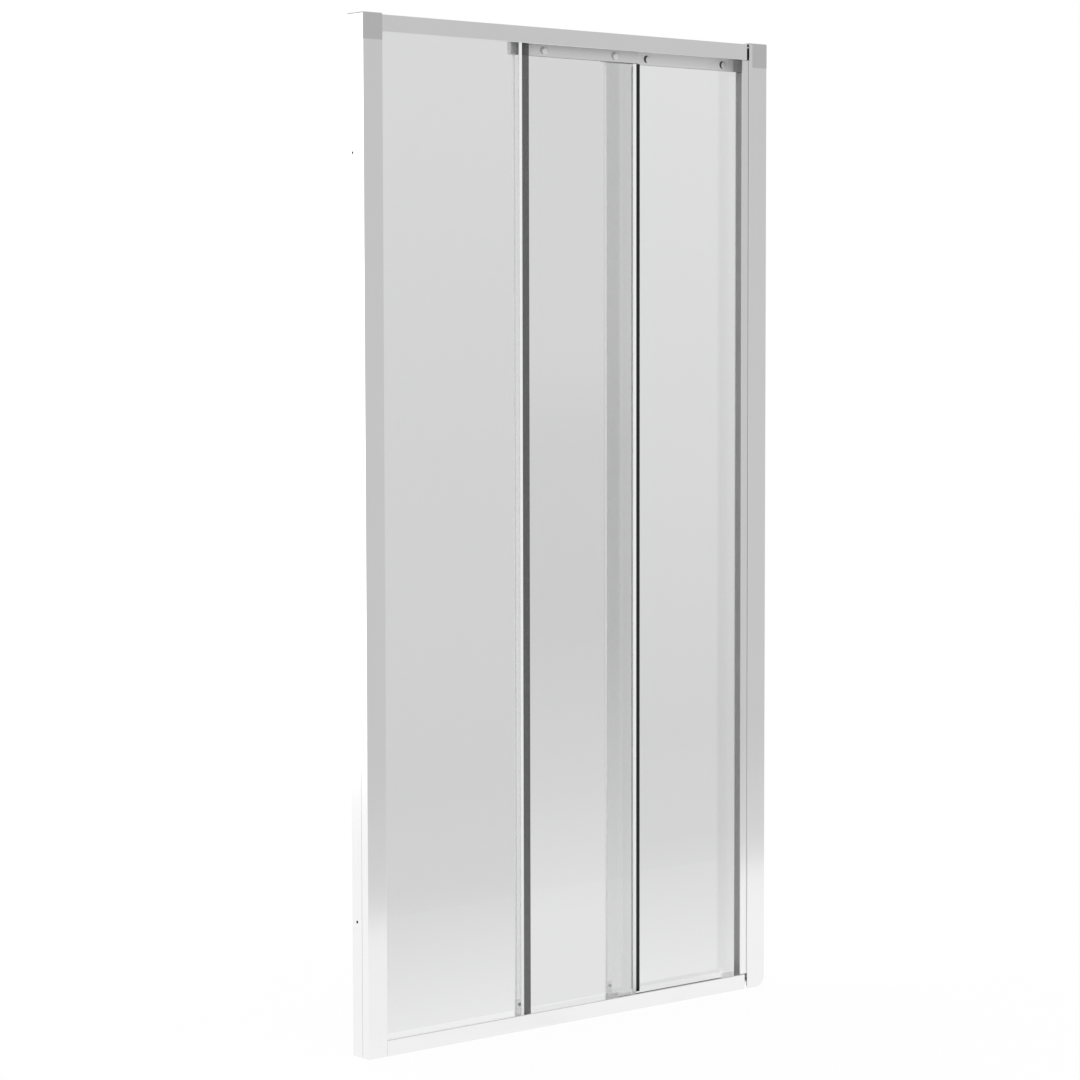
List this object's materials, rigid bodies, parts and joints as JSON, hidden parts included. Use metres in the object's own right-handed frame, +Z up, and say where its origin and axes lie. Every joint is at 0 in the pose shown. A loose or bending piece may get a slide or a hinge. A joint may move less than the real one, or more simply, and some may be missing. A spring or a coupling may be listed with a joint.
{
  "type": "sliding shower screen",
  "caption": "Tall framed shower screen with a fixed clear pane and telescoping glass doors that hang on rollers in the head rail and slide behind one another.",
  "frame": {"origin": "bottom centre of the closed screen, on the floor line, midway between the walls and between front and back", "axes": "+X along the width towards the closing side, +Y from the outside to the inside of the shower, +Z up"},
  "size_m": [1, 0.048, 1.9],
  "materials": {
    "bright_aluminium": "bright polished",
    "clear_glass": "clear, polished",
    "grey_gasket": "matt",
    "dark_seal": "smooth",
    "black_rubber": "matt",
    "grey_closing": "grey, satin",
    "satin_bar": "satin",
    "white_profile": "smooth",
    "bumper_plastic": "satin",
    "steel": "bright",
    "bolt_chrome": "polished",
    "white_nylon": "satin",
    "cap_plastic": "satin"
  },
  "bodies": {
    "frame": {"left_wall_channel": "bright_aluminium", "left_jamb": "bright_aluminium", "right_wall_channel": "bright_aluminium", "right_jamb": "bright_aluminium", "head_rail": "bright_aluminium", "sill_rail": "bright_aluminium", "left_top_cap": "cap_plastic", "right_top_cap": "cap_plastic", "left_corner_screws": "steel", "right_corner_screws": "steel", "left_channel_screws": "steel", "right_channel_screws": "steel", "fixed_pane": "clear_glass", "fixed_pane_jamb_gasket": "grey_gasket", "fixed_pane_head_gasket": "grey_gasket", "fixed_pane_sill_gasket": "grey_gasket", "fixed_edge_profile": "white_profile", "fixed_edge_seal": "dark_seal", "strike_gasket": "grey_gasket", "head_track_stops": "black_rubber"},
    "middle_door": {"middle_pane": "clear_glass", "middle_hanger_bar": "satin_bar", "middle_hanger_gasket": "grey_gasket", "middle_roller_plates": "steel", "middle_roller_axles": "steel", "middle_hanger_bolts": "bolt_chrome", "middle_guide_shoes": "white_nylon", "middle_guide_screw": "steel", "middle_bar_end_caps": "cap_plastic", "middle_edge_profile": "white_profile", "middle_edge_seal": "black_rubber"},
    "leading_door": {"leading_pane": "clear_glass", "leading_hanger_bar": "satin_bar", "leading_hanger_gasket": "grey_gasket", "leading_roller_plates": "steel", "leading_roller_axles": "steel", "leading_hanger_bolts": "bolt_chrome", "leading_guide_shoes": "white_nylon", "leading_guide_screw": "steel", "leading_bar_end_cap": "cap_plastic", "leading_end_bumper": "bumper_plastic", "leading_closing_profile": "grey_closing", "leading_closing_seal": "black_rubber"},
    "middle_roller_left": {"middle_roller_left": "white_nylon"},
    "middle_roller_right": {"middle_roller_right": "white_nylon"},
    "leading_roller_left": {"leading_roller_left": "white_nylon"},
    "leading_roller_right": {"leading_roller_right": "white_nylon"}
  },
  "joints": [
    {"name": "middle_door_slide", "type": "slide", "parent": "frame", "child": "middle_door", "axis": [-1, 0, 0], "range_m": [0, 0.27]},
    {"name": "leading_door_slide", "type": "slide", "parent": "frame", "child": "leading_door", "axis": [-1, 0, 0], "range_m": [0, 0.54]},
    {"name": "middle_roller_left_turn", "type": "hinge", "parent": "middle_door", "child": "middle_roller_left", "pos_m": [-0.0622, -0.0002, 1.8808], "axis": [0, -1, 0], "range_deg": [0, 2063]},
    {"name": "middle_roller_right_turn", "type": "hinge", "parent": "middle_door", "child": "middle_roller_right", "pos_m": [0.1154, -0.0002, 1.8808], "axis": [0, -1, 0], "range_deg": [0, 2063]},
    {"name": "leading_roller_left_turn", "type": "hinge", "parent": "leading_door", "child": "leading_roller_left", "pos_m": [0.2132, 0.0158, 1.8808], "axis": [0, -1, 0], "range_deg": [0, 4126]},
    {"name": "leading_roller_right_turn", "type": "hinge", "parent": "leading_door", "child": "leading_roller_right", "pos_m": [0.4141, 0.0158, 1.8808], "axis": [0, -1, 0], "range_deg": [0, 4126]}
  ],
  "couplings": [
    {"joint": "middle_roller_left_turn", "follows": "middle_door_slide", "rad_per_m": 133.33},
    {"joint": "middle_roller_right_turn", "follows": "middle_door_slide", "rad_per_m": 133.33},
    {"joint": "leading_roller_left_turn", "follows": "leading_door_slide", "rad_per_m": 133.33},
    {"joint": "leading_roller_right_turn", "follows": "leading_door_slide", "rad_per_m": 133.33}
  ]
}
